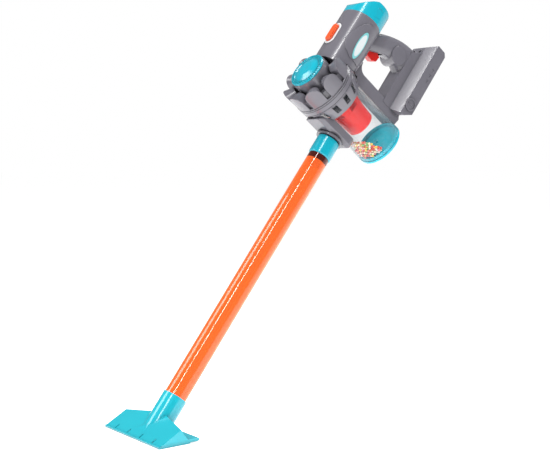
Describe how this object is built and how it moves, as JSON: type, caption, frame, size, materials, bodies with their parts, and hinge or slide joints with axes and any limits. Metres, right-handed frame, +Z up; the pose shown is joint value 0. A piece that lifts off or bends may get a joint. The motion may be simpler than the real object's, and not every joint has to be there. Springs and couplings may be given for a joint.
{
  "type": "toy stick vacuum cleaner",
  "caption": "Toy stick vacuum with a wedge floor head, clear tinted wand, cyclone crown over a clear bead bin, looped handle with trigger, and a battery foot.",
  "frame": {"origin": "on the floor under the floor head, where the wand's axis meets the sole plane", "axes": "+Z up, +Y back towards the child, +X across the floor head"},
  "size_m": [0.137, 0.5233, 0.5653],
  "materials": {
    "body_grey": "satin",
    "trim_cyan": "gloss",
    "wand_orange": "clear tint",
    "clear_plastic": "clear",
    "shroud_red": "gloss",
    "trigger_red": "gloss",
    "button_orange": "gloss",
    "plate_white": "gloss",
    "bead_mix": "gloss",
    "fan_white": "satin",
    "inner_black": "matte",
    "board_green": "satin",
    "cell_wrap": "gloss",
    "steel": "satin"
  },
  "bodies": {
    "hand_unit": {"inlet_neck": "body_grey", "inlet_duct": "body_grey", "cyclone_crown": "body_grey", "crown_cap": "trim_cyan", "fan_motor": "steel", "bin_band": "body_grey", "clear_bin": "clear_plastic", "shroud": "shroud_red", "beads": "bead_mix", "bin_base": "trim_cyan", "base_pin": "steel", "body_left": "body_grey", "body_right": "body_grey", "rear_cap": "trim_cyan", "button_bezel": "plate_white", "button_switch": "inner_black", "sound_board": "board_green", "speaker": "inner_black", "trigger_pin": "steel", "trigger_switch": "inner_black", "side_plates": "plate_white", "battery_tray": "inner_black", "battery_cells": "cell_wrap", "contact_springs": "steel", "contact_plates": "steel", "pivot_caps": "body_grey", "body_screws": "steel"},
    "wand": {"wand_tube": "wand_orange", "wand_collar": "trim_cyan"},
    "head": {"floor_head": "trim_cyan"},
    "button": {"power_button": "button_orange"},
    "trigger": {"trigger": "trigger_red"},
    "fan": {"fan": "fan_white"},
    "door": {"battery_door": "body_grey", "door_screw": "steel"}
  },
  "joints": [
    {"name": "wand_release", "type": "slide", "parent": "hand_unit", "child": "wand", "axis": [0, -0.6157, -0.788], "range_m": [0, 0.026]},
    {"name": "head_release", "type": "slide", "parent": "wand", "child": "head", "axis": [0, -0.6157, -0.788], "range_m": [0, 0.027]},
    {"name": "button_press", "type": "slide", "parent": "hand_unit", "child": "button", "axis": [0, 0.788, -0.6157], "range_m": [0, 0.002], "stiffness_N_per_m": 600, "springref_m": -0.001},
    {"name": "trigger_pull", "type": "hinge", "parent": "hand_unit", "child": "trigger", "pos_m": [0, 0.35569, 0.50724], "axis": [1, 0, 0], "range_deg": [0, 12], "stiffness_Nm_per_rad": 0.4, "springref_deg": -8.59},
    {"name": "fan_spin", "type": "hinge", "parent": "hand_unit", "child": "fan", "pos_m": [0, 0.30968, 0.42073], "axis": [0, -0.788, 0.6157], "continuous": true},
    {"name": "door_lift", "type": "slide", "parent": "hand_unit", "child": "door", "axis": [0, 0.788, -0.6157], "range_m": [0, 0.015]}
  ]
}
